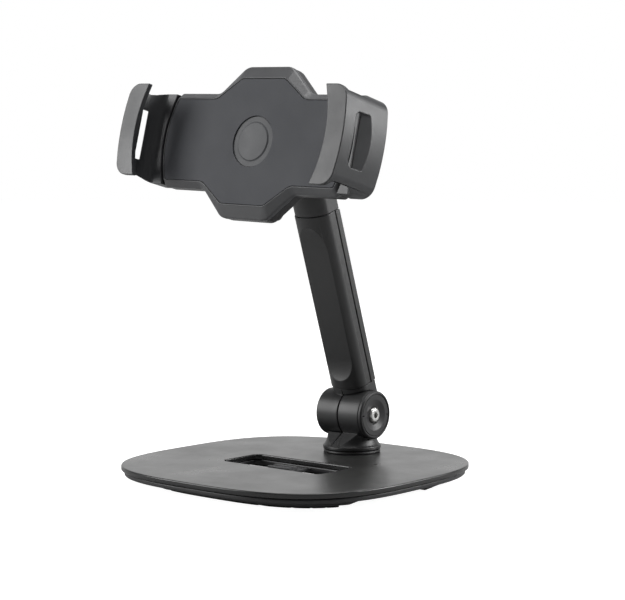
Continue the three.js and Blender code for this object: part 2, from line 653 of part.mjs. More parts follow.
// ---------- jaws, racks and pinion ----------
// The right-hand jaw: a bowed wall with a lip, hollowed behind the lip, with a scooped window.
function jawBody() {
  const { half, outer, bow, front, back, lip, wall, corner: round } = JAW;
  const v = (x, y) => new THREE.Vector2(x, y);
  const outerX = (y) => outer - bow * (y / half) ** 2;
  const innerX = (y) => HOUSING_LINE.end + 0.6 - HOUSING_LINE.bow * (y / half) ** 2;
  const steps = [-0.66, -0.33, 0, 0.33, 0.66].map((t) => t * half);
  const foot = corner(v(innerX(half), -half), v(outerX(half), -half), v(outerX(steps[0]), steps[0]), round);
  const head = [...foot].reverse().map((p) => v(p.x, -p.y));
  const outline = [
    v(innerX(half), -half), ...foot, ...steps.slice(1, 4).map((y) => v(outerX(y), y)), ...head,
    v(innerX(half), half), ...[...steps].reverse().map((y) => v(innerX(y), y)),
  ];
  const blank = sheet(outline, back, front, 0.7, 2);
  const inside = outer - wall;
  const hollow = prismY([
    [50, JAW_FLOOR], [75.5, JAW_FLOOR], [78.5, 1.4], [80.5, 4.6], [inside - 0.3, WINDOW.sill],
    [inside, WINDOW.sill + 2], [inside, front - lip], [50, front - lip],
  ], -half - 5, half + 5);
  // The window's heel slopes in, so a finger can hook the jaw and pull it out.
  const scoop = prismY([
    [outer + 8, WINDOW.heel - 6], [outer, WINDOW.heel], [inside + 0.6, WINDOW.sill],
    [60, WINDOW.sill + 0.4], [60, WINDOW.front], [outer + 8, WINDOW.front],
  ], -WINDOW.half, WINDOW.half);
  return cut(blank, hollow, scoop);
}

function rightJaw() {
  const guides = [1, -1].map((side) => {
    const [y0, y1] = [GUIDE.inner * side, GUIDE.outer * side].sort((a, b) => a - b);
    return block(GUIDE.reach, 78, y0, y1, GUIDE.back, GUIDE.front);
  });
  const rackSocket = block(66, 79.3, -12.4, -6.2, GUIDE.back - GAP, GUIDE.front + GAP);
  return cut(join(jawBody(), ...guides), rackSocket);
}

// The rack under the pinion; its teeth point up at the pinion's pitch line.
function rightRack() {
  const { module: m } = GEAR;
  const pitch = Math.PI * m;
  const line = -(GEAR.teeth * m) / 2;
  const [tip, rootY] = [line + RACK_ADDENDUM, line - RACK_DEPTH];
  const slope = Math.tan(THREE.MathUtils.degToRad(20));
  const halfAt = (y) => pitch / 4 - RACK_BACKLASH / 2 - (y - line) * slope;
  const outline = [new THREE.Vector2(-RACK_REACH, -12), new THREE.Vector2(79, -12)];
  outline.push(new THREE.Vector2(79, rootY));
  const count = Math.floor((RACK_REACH - 1) / pitch);
  for (let i = 2; i >= -count; i -= 1) {
    const x = i * pitch;
    outline.push(
      new THREE.Vector2(x + halfAt(rootY), rootY), new THREE.Vector2(x + halfAt(tip), tip),
      new THREE.Vector2(x - halfAt(tip), tip), new THREE.Vector2(x - halfAt(rootY), rootY),
    );
  }
  outline.push(new THREE.Vector2(-RACK_REACH, rootY));
  return sheet(outline, GUIDE.back, GUIDE.front);
}

function lipPad() {
  return sheet(roundedRect(77.2, 0, 7, 44, 1.5), 19.1, 20.2);
}

// Involute teeth; a gap between teeth points straight down, where the rack's tooth sits at rest.
function pinion() {
  const { teeth, module: m, addendum, dedendum, front, back } = GEAR;
  const pitchR = (teeth * m) / 2;
  const baseR = pitchR * Math.cos(THREE.MathUtils.degToRad(20));
  const involute = (r) => {
    const angle = Math.acos(Math.min(1, baseR / r));
    return Math.tan(angle) - angle;
  };
  const halfTooth = (r) =>
    Math.PI / (2 * teeth) - RACK_BACKLASH / (4 * pitchR) + involute(pitchR) - involute(Math.max(r, baseR));
  const radii = [pitchR - dedendum, baseR, (baseR + pitchR + addendum) / 2, pitchR + addendum];
  const points = [];
  for (let i = 0; i < teeth; i += 1) {
    const middle = ((i + 0.5) / teeth) * 2 * Math.PI - Math.PI / 2;
    for (const r of radii) points.push([r, middle - halfTooth(r)]);
    for (const r of [...radii].reverse()) points.push([r, middle + halfTooth(r)]);
  }
  const outline = points.map(([r, a]) => new THREE.Vector2(r * Math.cos(a), r * Math.sin(a)));
  return cut(sheet(outline, back, front), rod(2.4, -20, 0, 24));
}

// The left jaw and rack are the right ones turned half a turn about the pad's normal.
function addJaws() {
  const turn = { right: 0, left: Math.PI };
  for (const [side, angle] of Object.entries(turn)) {
    add(holder, `${side}_jaw`, rightJaw(), LIP_GREY).rotation.z = angle;
    add(holder, `${side}_rack`, rightRack(), NYLON).rotation.z = angle;
    add(holder, `${side}_lip_pad`, lipPad(), RUBBER).rotation.z = angle;
  }
  add(holder, 'pinion', pinion(), NYLON);
}

addBase();
addPost();
addArm();
addBracket();
addHolder();
addJaws();

export default root;
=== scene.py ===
import json
import math

import bpy
from mathutils import Matrix, Vector


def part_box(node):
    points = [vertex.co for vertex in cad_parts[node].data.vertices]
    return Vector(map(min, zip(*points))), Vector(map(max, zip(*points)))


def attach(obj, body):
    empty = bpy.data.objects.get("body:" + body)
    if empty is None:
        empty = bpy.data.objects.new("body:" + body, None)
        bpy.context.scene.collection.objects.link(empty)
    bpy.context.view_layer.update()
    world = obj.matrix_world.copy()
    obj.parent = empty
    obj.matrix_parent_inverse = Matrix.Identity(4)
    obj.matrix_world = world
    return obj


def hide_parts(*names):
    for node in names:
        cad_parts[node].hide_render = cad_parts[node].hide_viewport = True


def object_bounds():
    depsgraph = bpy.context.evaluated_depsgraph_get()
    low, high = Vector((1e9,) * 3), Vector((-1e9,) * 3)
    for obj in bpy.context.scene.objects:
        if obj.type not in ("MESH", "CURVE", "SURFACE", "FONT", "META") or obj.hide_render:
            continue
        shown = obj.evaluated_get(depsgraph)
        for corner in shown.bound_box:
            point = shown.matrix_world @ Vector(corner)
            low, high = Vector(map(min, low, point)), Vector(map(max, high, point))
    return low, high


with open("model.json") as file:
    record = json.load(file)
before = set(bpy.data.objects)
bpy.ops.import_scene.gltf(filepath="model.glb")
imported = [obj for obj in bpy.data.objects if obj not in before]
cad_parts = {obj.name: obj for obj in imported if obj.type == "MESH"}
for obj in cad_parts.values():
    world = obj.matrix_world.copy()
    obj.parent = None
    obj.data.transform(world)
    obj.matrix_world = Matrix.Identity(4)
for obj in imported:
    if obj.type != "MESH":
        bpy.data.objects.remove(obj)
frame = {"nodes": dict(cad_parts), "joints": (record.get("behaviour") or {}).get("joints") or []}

cad_low, cad_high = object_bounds()


# ---------------------------------------------------------------- camera, room and light
# A small white studio: a seamless pale floor, a white backdrop, and large soft lights at the left, the right
# and above. The camera stands in front and to the right of the stand, almost level with it.
AIM = (cad_low + cad_high) / 2 + Vector((0.0054, 0.0092, -0.0142))
DISTANCE = 0.952
CAMERA_TURN = math.radians(40.14)
CAMERA_RISE = math.radians(3.75)
away = Vector((
    math.sin(CAMERA_TURN) * math.cos(CAMERA_RISE),
    -math.cos(CAMERA_TURN) * math.cos(CAMERA_RISE),
    math.sin(CAMERA_RISE),
))
bpy.ops.object.camera_add(location=AIM + away * DISTANCE)
camera = bpy.context.object
camera.rotation_euler = away.to_track_quat("Z", "Y").to_euler()
camera.data.sensor_width = 36
camera.data.lens = 92.36
camera.data.clip_end = 100
bpy.context.scene.camera = camera
bpy.context.scene.view_settings.view_transform = "Standard"


def add_node(tree, kind, inputs=None, **settings):
    """A shader node with its settings made, and each input given a value or joined to a socket."""
    made = tree.nodes.new("ShaderNode" + kind)
    for key, value in settings.items():
        setattr(made, key, value)
    for key, value in (inputs or {}).items():
        if isinstance(value, bpy.types.NodeSocket):
            tree.links.new(value, made.inputs[key])
        else:
            made.inputs[key].default_value = value
    return made


def soft_light(name, place, size, watts, aim=AIM):
    """A square soft box that faces the object."""
    bpy.ops.object.light_add(type="AREA", location=place)
    light = bpy.context.object
    light.name = name
    light.rotation_euler = (Vector(place) - aim).to_track_quat("Z", "Y").to_euler()
    light.data.shape = "RECTANGLE"
    light.data.size, light.data.size_y = size
    light.data.energy = watts


def white_room():
    """White all round for the eye; for reflections, a white wall behind the object and a dim room."""
    world = bpy.data.worlds.new("studio")
    world.use_nodes = True
    bpy.context.scene.world = world
    tree = world.node_tree
    tree.nodes.clear()
    way = add_node(tree, "TexCoord").outputs["Generated"]
    behind = add_node(tree, "VectorMath", {0: way, 1: (-away.x, -away.y, -0.35)}, operation="DOT_PRODUCT")
    wall = add_node(tree, "MapRange", {"Value": behind.outputs["Value"], "From Min": 0.45, "From Max": 0.85,
                                       "To Min": 0.08, "To Max": 1.0}, interpolation_type="SMOOTHSTEP")
    lit = add_node(tree, "Background", {"Color": (1, 1, 1, 1), "Strength": wall.outputs[0]})
    seen = add_node(tree, "Background", {"Color": (1, 1, 1, 1), "Strength": 1.0})
    eye = add_node(tree, "LightPath")
    both = add_node(tree, "MixShader", {0: eye.outputs["Is Camera Ray"], 1: lit.outputs[0],
                                        2: seen.outputs[0]})
    add_node(tree, "OutputWorld", {"Surface": both.outputs[0]})


def pale_floor():
    """The floor glows a little, so that it stays pale and the shadow under the base is soft."""
    bpy.ops.mesh.primitive_plane_add(size=60, location=(0, 0, 0))
    floor = bpy.context.object
    floor.name = "floor"
    material = bpy.data.materials.new("studio_floor")
    material.use_nodes = True
    surface = material.node_tree.nodes["Principled BSDF"]
    surface.inputs["Base Color"].default_value = (0.38, 0.38, 0.38, 1)
    surface.inputs["Roughness"].default_value = 0.9
    surface.inputs["Specular IOR Level"].default_value = 0.0
    surface.inputs["Emission Color"].default_value = (1, 1, 1, 1)
    eye = add_node(material.node_tree, "LightPath")
    glow = add_node(material.node_tree, "MapRange", {"Value": eye.outputs["Is Camera Ray"], "To Min": 0.06,
                                                     "To Max": 0.965})
    material.node_tree.links.new(glow.outputs[0], surface.inputs["Emission Strength"])
    floor.data.materials.append(material)


white_room()
pale_floor()
soft_light("front_left_box", (-1.15, -1.15, 0.72), (0.8, 1.25), 24)
soft_light("back_right_box", (1.25, 1.15, 0.75), (0.7, 1.0), 30)
soft_light("top_box", (0.1, 0.1, 1.6), (1.1, 1.1), 26)


# ---------------------------------------------------------------- base plate
# A 3 mm pressed steel plate, a square whose sides and corners are one smooth curve, with a slot cut through
# it. It is coated in satin grey-black powder, which leaves a fine pebbled skin. Screws hold it from below.
TO_METRES = Matrix.Scale(0.001, 4)
SMOOTH_BELOW = math.radians(34)
POST_Y = 53.6
BASE_CURVE = 0.6338
SLOT = {"x": 0.5, "y": -8.5, "width": 75.7, "depth": 32.4, "corner": 4.5}
SCREW_PLACES = [(-52, -56), (52, -56), (-52, 56), (52, 56)]


def node_box(node):
    """A CAD node's lowest and highest corners in millimetres, in which every piece here is drawn."""
    low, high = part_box(node)
    return low * 1000, high * 1000


def draw(operator, name, **sizes):
    """Adds a primitive by itself, in edit mode and selected all over."""
    bpy.ops.object.select_all(action="DESELECT")
    operator(enter_editmode=True, **sizes)
    bpy.context.object.name = name
    return bpy.context.object


def leave_edit():
    """Back to object mode, with the piece's place moved into its mesh."""
    bpy.ops.object.mode_set(mode="OBJECT")
    bpy.ops.object.transform_apply(location=True, rotation=True, scale=True)
    return bpy.context.object


def pull_up(height):
    bpy.ops.mesh.extrude_region_move(TRANSFORM_OT_translate={"value": (0, 0, height)})


def base_slab(name, half, low, high):
    """A plate with the base's outline: a rectangle whose corners are bevelled all the way along its sides."""
    draw(bpy.ops.mesh.primitive_plane_add, name, size=2, location=(0, 0, low))
    bpy.ops.transform.resize(value=(half[0], half[1], 1), center_override=(0, 0, low))
    bpy.ops.mesh.bevel(affect="VERTICES", offset_type="PERCENT", offset_pct=50, segments=48,
                       profile=BASE_CURVE)
    bpy.ops.mesh.remove_doubles(threshold=0.01)
    pull_up(high - low)
    return leave_edit()


def block(name, low, high):
    """A plain block between two corners, used as a tool or as a start."""
    middle = [(a + b) / 2 for a, b in zip(low, high)]
    size = [b - a for a, b in zip(low, high)]
    draw(bpy.ops.mesh.primitive_cube_add, name, size=1, location=middle)
    bpy.ops.transform.resize(value=size, center_override=middle)
    return leave_edit()


def rounded_block(name, x, y, width, depth, corner, low, high):
    """A block whose four upright edges are rounded."""
    draw(bpy.ops.mesh.primitive_plane_add, name, size=1, location=(x, y, low))
    bpy.ops.transform.resize(value=(width, depth, 1), center_override=(x, y, low))
    bpy.ops.mesh.bevel(affect="VERTICES", offset=corner, segments=10)
    pull_up(high - low)
    return leave_edit()


def rod(name, radius, low, high, sides=48, x=0, y=0):
    """A round bar up the Z axis."""
    draw(bpy.ops.mesh.primitive_cylinder_add, name, vertices=sides, radius=radius, depth=high - low,
         location=(x, y, (low + high) / 2))
    return leave_edit()


def across(piece):
    """Lays a piece that was drawn up the Z axis along the X axis."""
    piece.data.transform(Matrix.Rotation(math.pi / 2, 4, "Y"))
    return piece


def finish_with(piece, kind, **settings):
    """Adds one modifier and applies it at once."""
    bpy.ops.object.select_all(action="DESELECT")
    bpy.context.view_layer.objects.active = piece
    piece.select_set(True)
    modifier = piece.modifiers.new(kind.lower(), kind)
    for key, value in settings.items():
        setattr(modifier, key, value)
    bpy.ops.object.modifier_apply(modifier=modifier.name)
    return piece


def carve(piece, *tools, operation="DIFFERENCE"):
    """Cuts each tool out of the piece, or joins it on, and throws the tool away."""
    for tool in tools:
        finish_with(piece, "BOOLEAN", object=tool, operation=operation, solver="EXACT")
        bpy.data.objects.remove(tool)
    return piece


def soften(piece, width, segments=3, angle=16):
    """Merges stray points, then rounds every edge sharper than the angle."""
    bpy.ops.object.select_all(action="DESELECT")
    bpy.context.view_layer.objects.active = piece
    piece.select_set(True)
    bpy.ops.object.mode_set(mode="EDIT")
    bpy.ops.mesh.select_all(action="SELECT")
    bpy.ops.mesh.remove_doubles(threshold=0.02)
    bpy.ops.mesh.normals_make_consistent(inside=False)
    bpy.ops.object.mode_set(mode="OBJECT")
    return finish_with(piece, "BEVEL", width=width, segments=segments, limit_method="ANGLE",
                       angle_limit=math.radians(angle), use_clamp_overlap=False,
                       miter_outer="MITER_ARC")


def settle(piece, place, body, slot, material, *nodes):
    """Puts a finished piece in its place in metres, smooths it, gives it its material, parents it to its body
    and hides the CAD nodes it stands in for.
    """
    bpy.ops.object.select_all(action="DESELECT")
    bpy.context.view_layer.objects.active = piece
    piece.select_set(True)
    piece.data.transform(TO_METRES @ place)
    bpy.ops.object.shade_smooth_by_angle(angle=SMOOTH_BELOW)
    finish_with(piece, "WEIGHTED_NORMAL", weight=100, keep_sharp=True)
    piece.data.materials.clear()
    piece.data.materials.append(material)
    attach(piece, body)
    if nodes:
        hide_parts(*nodes)
    return piece


def new_group(name, inputs, outputs):
    """An empty group of shader nodes with named values going in and masks or heights coming out."""
    tree = bpy.data.node_groups.new(name, "ShaderNodeTree")
    for label, value in inputs.items():
        socket = tree.interface.new_socket(label, in_out="INPUT", socket_type="NodeSocketFloat")
        socket.default_value = value
    for label in outputs:
        tree.interface.new_socket(label, in_out="OUTPUT", socket_type="NodeSocketFloat")
    return tree, tree.nodes.new("NodeGroupInput").outputs, tree.nodes.new("NodeGroupOutput").inputs


def build_grain():
    """Moulded or sprayed skin: fine pebbles over a soft ripple, and a slow drift of tone."""
    tree, given, out = new_group("skin_grain", {"Scale": 1500, "Pebble": 0.5}, ("Height", "Tone"))
    place = add_node(tree, "TexCoord").outputs["Object"]
    ripple = add_node(tree, "TexNoise", {"Vector": place, "Scale": given["Scale"], "Detail": 2.0})
    pebble = add_node(tree, "TexVoronoi", {"Vector": place, "Scale": given["Scale"]},
                      feature="SMOOTH_F1")
    height = add_node(tree, "Mix", {"Factor": given["Pebble"], "A": ripple.outputs["Fac"],
                                    "B": pebble.outputs["Distance"]})
    drift = add_node(tree, "TexNoise", {"Vector": place, "Scale": 34.0, "Detail": 4.0, "Roughness": 0.6})
    tree.links.new(height.outputs["Result"], out["Height"])
    tree.links.new(drift.outputs["Fac"], out["Tone"])
    return tree


def build_wear():
    """Rubbed edges: where the surface turns sharply outwards, broken up by noise."""
    tree, given, out = new_group("edge_wear", {"Amount": 0.4}, ("Mask",))
    sharp = add_node(tree, "NewGeometry").outputs["Pointiness"]
    edge = add_node(tree, "MapRange", {"Value": sharp, "From Min": 0.53, "From Max": 0.60})
    place = add_node(tree, "TexCoord").outputs["Object"]
    patches = add_node(tree, "TexNoise", {"Vector": place, "Scale": 260.0, "Detail": 5.0})
    broken = add_node(tree, "MapRange", {"Value": patches.outputs["Fac"], "From Min": 0.35, "From Max": 0.7})
    mask = add_node(tree, "Math", {0: edge.outputs[0], 1: broken.outputs[0]}, operation="MULTIPLY")
    share = add_node(tree, "Math", {0: mask.outputs[0], 1: given["Amount"]}, operation="MULTIPLY")
    tree.links.new(share.outputs[0], out["Mask"])
    return tree


def build_dust():
    """A thin film of dust on what faces up, in soft patches with fine specks."""
    tree, given, out = new_group("settled_dust", {"Amount": 0.1}, ("Mask",))
    normal = add_node(tree, "NewGeometry").outputs["Normal"]
    up = add_node(tree, "SeparateXYZ", {"Vector": normal})
    flat = add_node(tree, "MapRange", {"Value": up.outputs["Z"], "From Min": 0.4, "From Max": 1.0})
    place = add_node(tree, "TexCoord").outputs["Object"]
    patches = add_node(tree, "TexNoise", {"Vector": place, "Scale": 60.0, "Detail": 8.0, "Roughness": 0.7})
    mask = add_node(tree, "Math", {0: flat.outputs[0], 1: patches.outputs["Fac"]}, operation="MULTIPLY")
    share = add_node(tree, "Math", {0: mask.outputs[0], 1: given["Amount"]}, operation="MULTIPLY")
    tree.links.new(share.outputs[0], out["Mask"])
    return tree


GRAIN, WEAR, DUST = build_grain(), build_wear(), build_dust()
DUST_TONE = (0.32, 0.31, 0.30, 1)


def skin(name, colour, roughness, scale, depth, pebble=0.5, wear=0.3, worn=(0.12, 0.12, 0.12), dust=0.04,
         drift=0.25, uneven=0.08, metallic=0.0, specular=0.5):
    """A finish with grain, uneven tone and gloss, rubbed edges and dust, each in its own measure."""
    material = bpy.data.materials.new(name)
    material.use_nodes = True
    tree = material.node_tree
    surface = tree.nodes["Principled BSDF"]
    grain = add_node(tree, "Group", {}, node_tree=GRAIN)
    grain.inputs["Scale"].default_value = scale
    grain.inputs["Pebble"].default_value = pebble
    rub = add_node(tree, "Group", {}, node_tree=WEAR)
    rub.inputs["Amount"].default_value = wear
    film = add_node(tree, "Group", {}, node_tree=DUST)
    film.inputs["Amount"].default_value = dust
    tone = grain.outputs["Tone"]
    lighter = tuple(c * (1 + drift) for c in colour) + (1,)
    darker = tuple(c * (1 - drift) for c in colour) + (1,)
    plain = add_node(tree, "Mix", {"Factor": tone, "A": darker, "B": lighter}, data_type="RGBA")
    rubbed = add_node(tree, "Mix", {"Factor": rub.outputs["Mask"], "A": plain.outputs["Result"],
                                    "B": tuple(worn) + (1,)}, data_type="RGBA")
    dusty = add_node(tree, "Mix", {"Factor": film.outputs["Mask"], "A": rubbed.outputs["Result"],
                                   "B": DUST_TONE}, data_type="RGBA")
    gloss = add_node(tree, "MapRange", {"Value": tone, "From Min": 0.25, "From Max": 0.75,
                                        "To Min": roughness - uneven, "To Max": roughness + uneven})
    dulled = add_node(tree, "Math", {0: film.outputs["Mask"], 1: 0.8, 2: gloss.outputs[0]},
                      operation="MULTIPLY_ADD")
    relief = add_node(tree, "Bump", {"Height": grain.outputs["Height"], "Strength": 1.0, "Distance": depth})
    tree.links.new(dusty.outputs["Result"], surface.inputs["Base Color"])
    tree.links.new(dulled.outputs[0], surface.inputs["Roughness"])
    tree.links.new(relief.outputs["Normal"], surface.inputs["Normal"])
    surface.inputs["Metallic"].default_value = metallic
    surface.inputs["Specular IOR Level"].default_value = specular
    return material


def slot_tool(name, grow, low, high):
    return rounded_block(name, SLOT["x"], SLOT["y"], SLOT["width"] + grow, SLOT["depth"] + grow,
                         SLOT["corner"], low, high)


powder_coat = skin("powder_coat", (0.011, 0.0113, 0.0113), 0.28, 1700, 0.00003, pebble=0.7, wear=0.35,
                   worn=(0.20, 0.20, 0.20), dust=0.05, drift=0.12, uneven=0.05, specular=0.5)
plate_low, plate_high = node_box("base_plate")
plate = base_slab("powder_coated_plate", (plate_high.x, plate_high.y), plate_low.z, plate_high.z)
post_hole = rod("tool", 4.4, 0, 20, y=POST_Y)
screw_holes = [rod("tool", 2, 5, 10.4, 24, x, y) for x, y in SCREW_PLACES]
carve(plate, slot_tool("tool", 0, 5, 20), post_hole, *screw_holes)
soften(plate, 0.75, 4)
settle(plate, Matrix(), "base", "base_coating", powder_coat, "base_plate")


# ---------------------------------------------------------------- tray, foot rails and foot pads
# A moulded black tray fills the underside of the plate. Two rails under it, front and back, stand on flat
# rubber pads. Their ends slope up at 45 degrees, which leaves a passage below the slot for a lead.
moulded_black = skin("moulded_black", (0.016, 0.016, 0.017), 0.42, 1300, 0.00003, pebble=0.4, wear=0.25,
                     worn=(0.09, 0.09, 0.09), dust=0.03, specular=0.45)
foot_rubber = skin("foot_rubber", (0.012, 0.012, 0.012), 0.85, 900, 0.00006, pebble=0.8, wear=0.5,
                   worn=(0.06, 0.06, 0.06), dust=0.06, specular=0.25)
RAIL_ENDS = {"front": (-1, -43, (-66.3, -47.7)), "rear": (1, 22, (27.7, 42.3))}
POCKET_HALF, POCKET_FLOOR = 44.3, 2.7
FOOT_HALF = (81, 75.5)
TOP_HALF = (86, 84)


def cut_away(piece, point, normal):
    """Saws off all that lies past a plane, on the side its normal points to, and closes the cut."""
    bpy.ops.object.select_all(action="DESELECT")
    bpy.context.view_layer.objects.active = piece
    piece.select_set(True)
    bpy.ops.object.mode_set(mode="EDIT")
    bpy.ops.mesh.select_all(action="SELECT")
    bpy.ops.mesh.bisect(plane_co=point, plane_no=normal, use_fill=True, clear_outer=True)
    return leave_edit()


tray_low, tray_high = node_box("base_tray")
tray = base_slab("moulded_tray", (tray_high.x, tray_high.y), tray_low.z, tray_high.z)
tray_holes = [rod("tool", 2, 0, 10, 24, x, y) for x, y in SCREW_PLACES]
carve(tray, slot_tool("tool", 0.8, 0, 20), rod("tool", 8.5, 0, 20, y=POST_Y), *tray_holes)
soften(tray, 0.9, 4)
settle(tray, Matrix(), "base", "moulded_black", moulded_black, "base_tray")

for end, (side, start, (pocket_front, pocket_back)) in RAIL_ENDS.items():
    low, high = (corner.z for corner in node_box(f"{end}_foot_rail"))
    rail = base_slab(f"{end}_rail", FOOT_HALF, low, high)
    bpy.ops.object.mode_set(mode="EDIT")
    bpy.ops.transform.resize(value=(TOP_HALF[0] / FOOT_HALF[0], TOP_HALF[1] / FOOT_HALF[1], 1),
                             center_override=(0, 0, high))
    leave_edit()
    cut_away(rail, (0, start, low), (0, -side, -1))
    pocket = block("tool", (-POCKET_HALF, pocket_front, POCKET_FLOOR), (POCKET_HALF, pocket_back, 9))
    wells = [rod("tool", radius, 0, top, 40, x, y) for x, y in SCREW_PLACES if y * side > 0
             for radius, top in ((2, 10), (4, 3.6))]
    if side > 0:
        wells.append(rod("tool", 9, 2.4, 9, y=POST_Y))
    carve(rail, pocket, *wells)
    soften(rail, 0.6, 3)
    settle(rail, Matrix(), "base", "moulded_black", moulded_black, f"{end}_foot_rail")

    pad_low, pad_high = node_box(f"{end}_foot_pad")
    pad = base_slab(f"{end}_rubber_foot", (78, 72.5), pad_low.z, pad_high.z)
    cut_away(pad, (0, start + 3 * side, 0), (0, -side, 0))
    grooves = [block("tool", (-90, start + side * (3 + 6 * step) - 0.5, -1),
                     (90, start + side * (3 + 6 * step) + 0.5, 0.35)) for step in range(1, 8)]
    carve(pad, *grooves)
    soften(pad, 0.2, 2)
    settle(pad, Matrix(), "base", "foot_rubber", foot_rubber, f"{end}_foot_pad")


# ---------------------------------------------------------------- lead clip
# A soft rubber clip bridges the slot from below. Its block stands in the middle of the slot and has an open
# groove along its top, into which a charging lead is pressed.
clip_rubber = skin("clip_rubber", (0.040, 0.040, 0.042), 0.62, 1100, 0.00005, pebble=0.6, wear=0.4,
                   worn=(0.10, 0.10, 0.10), dust=0.08, specular=0.35)
clip_low, clip_high = node_box("cable_clip")
clip = block("lead_clip", (-12, clip_low.y, clip_low.z), (5, clip_high.y, 7.2))
hook = rounded_block("tool", -3.5, -8, 17, 9, 1.5, 6.8, clip_high.z)
groove = across(rod("tool", 1.4, -14, 8))
groove.data.transform(Matrix.Translation((0, -8, 9.4)))
carve(hook, groove)
carve(clip, hook, operation="UNION")
soften(clip, 0.3, 3)
settle(clip, Matrix(), "base", "clip_rubber", clip_rubber, "cable_clip")


# ---------------------------------------------------------------- screws under the base
# Steel screws with flat heads and cross recesses hold the rails, the tray and the plate together.
dark_steel = skin("dark_steel", (0.10, 0.10, 0.105), 0.36, 1900, 0.00001, pebble=0.2, wear=0.4,
                  worn=(0.35, 0.35, 0.35), dust=0.02, metallic=1.0)


def turn_up(name, profile, sides=96):
    """A turned piece: a disc drawn up the Z axis, its ring lifted and scaled at each step of the profile."""
    radius, height = profile[0]
    draw(bpy.ops.mesh.primitive_circle_add, name, vertices=sides, radius=radius, fill_type="NGON",
         location=(0, 0, height))
    for next_radius, next_height in profile[1:]:
        pull_up(next_height - height)
        share = next_radius / radius
        bpy.ops.transform.resize(value=(share, share, 1), center_override=(0, 0, 0))
        radius, height = next_radius, next_height
    bpy.ops.mesh.select_all(action="SELECT")
    bpy.ops.mesh.normals_make_consistent(inside=False)
    return leave_edit()


def cross_recess(depth, reach, top):
    """The tool that leaves a cross in a screw's head, at the height of the head's face."""
    bar = block("tool", (-reach, -0.35, top - depth), (reach, 0.35, top + 2))
    other = block("tool", (-0.35, -reach, top - depth), (0.35, reach, top + 2))
    return carve(bar, other, operation="UNION")


for number, (x, y) in enumerate(SCREW_PLACES, 1):
    screw = turn_up(f"tray_screw_{number}", [
        (1.6, -10.1), (1.6, -3.3), (3.2, -3.3), (3.2, -2.2), (2.9, -1.9), (2.2, -1.8)], 48)
    carve(screw, cross_recess(0.9, 1.7, -1.8))
    flip = Matrix.Translation((x, y, 0)) @ Matrix.Rotation(math.pi, 4, "X")
    settle(screw, flip, "base", "dark_steel", dark_steel, f"base_screw_{number}")


# ---------------------------------------------------------------- seat ring and post
# The post turns on a moulded seat ring. It is a die casting painted satin black: a round foot that two
# sloping faces blend into one half of the lower hinge's drum.
joint = {row["name"]: row for row in frame["joints"]}
satin_black = skin("satin_black_paint", (0.0125, 0.0127, 0.0132), 0.42, 2100, 0.00002, pebble=0.3,
                   wear=0.3, worn=(0.10, 0.10, 0.10), dust=0.02, drift=0.15, uneven=0.05, specular=0.5)


def at_joint(name):
    return Vector(joint[name]["pos_m"]) * 1000


def frame_at(origin, x_axis, z_axis):
    """The place whose X and Z axes point the given ways, for drawing a piece square to its own axes."""
    z_axis = Vector(z_axis).normalized()
    x_axis = Vector(x_axis).normalized()
    y_axis = z_axis.cross(x_axis)
    turn = Matrix((x_axis, y_axis, z_axis)).transposed().to_4x4()
    return Matrix.Translation(origin) @ turn


lower_hinge, upper_hinge = at_joint("lower_tilt"), at_joint("upper_tilt")
post_place = Matrix.Translation((lower_hinge.x, lower_hinge.y, 0))
lower_place = Matrix.Translation(lower_hinge)
arm_place = frame_at(lower_hinge, (1, 0, 0), upper_hinge - lower_hinge)
upper_place = frame_at(upper_hinge, (1, 0, 0), joint["holder_spin"]["axis"])
holder_place = frame_at(at_joint("holder_spin"), joint["right_jaw_slide"]["axis"],
                        joint["holder_spin"]["axis"])
ARM_LENGTH = (upper_hinge - lower_hinge).length
LOWER_DRUM, UPPER_DRUM = 14.5, 13.0
PIN_BORE, WASHER_SEAT = 2.8, 10.4
HALF_GAP = 0.15

seat_low, seat_high = node_box("post_seat_ring")
seat = turn_up("seat_ring", [(17.3, seat_low.z), (17.6, seat_low.z + 0.3), (17.6, seat_high.z - 0.5),
                             (17.45, seat_high.z - 0.2), (17.1, seat_high.z)])
carve(seat, rod("tool", 4.6, 5, 20))
settle(seat, post_place, "base", "moulded_black", moulded_black, "post_seat_ring")


def drum(name, radius, start, end, edge=0.55, sides=128):
    """Half of a hinge's drum along X, with rounded rims."""
    bead = 0.29 * edge
    return across(turn_up(name, [
        (radius - edge, start), (radius - bead, start + bead), (radius, start + edge),
        (radius, end - edge), (radius - bead, end - bead), (radius - edge, end)], sides))


def pin_hole():
    return across(rod("tool", PIN_BORE, -30, 30))


post = turn_up("swivel_post", [
    (17.2, 13.6), (17.6, 13.7), (17.9, 14.1), (17.9, 15.5), (17.75, 15.9), (17.3, 16.2), (16.9, 16.6),
    (16.6, 17.1), (16.15, 17.9), (15.8, 18.8), (15.45, 19.9), (15.2, 21), (15.02, 22.3), (14.9, 23.6),
    (14.82, 25.5), (14.8, 27.4)], 128)
slope = Vector((0, 30 - 16.8, 16.5 - 9.5))
cut_away(post, (0, 16.5, 16.8), slope)
cut_away(post, (0, -16.5, 16.8), (0, -slope.y, slope.z))
arm_sweep = across(rod("tool", LOWER_DRUM + 0.5, -20, HALF_GAP, 96))
arm_sweep.data.transform(Matrix.Translation((0, 0, lower_hinge.z)))
post_drum = drum("tool", LOWER_DRUM, HALF_GAP, 16)
post_drum.data.transform(Matrix.Translation((0, 0, lower_hinge.z)))
carve(post, arm_sweep)
carve(post, post_drum, operation="UNION")
washer_seat = across(rod("tool", WASHER_SEAT, -5, HALF_GAP + 1))
for tool in (washer_seat, pin_hole()):
    tool.data.transform(Matrix.Translation((0, 0, lower_hinge.z)))
    carve(post, tool)
carve(post, rod("tool", 4.4, 5, 19.5))
soften(post, 0.22, 3)
settle(post, post_place, "post", "satin_black_metal", satin_black, "post")


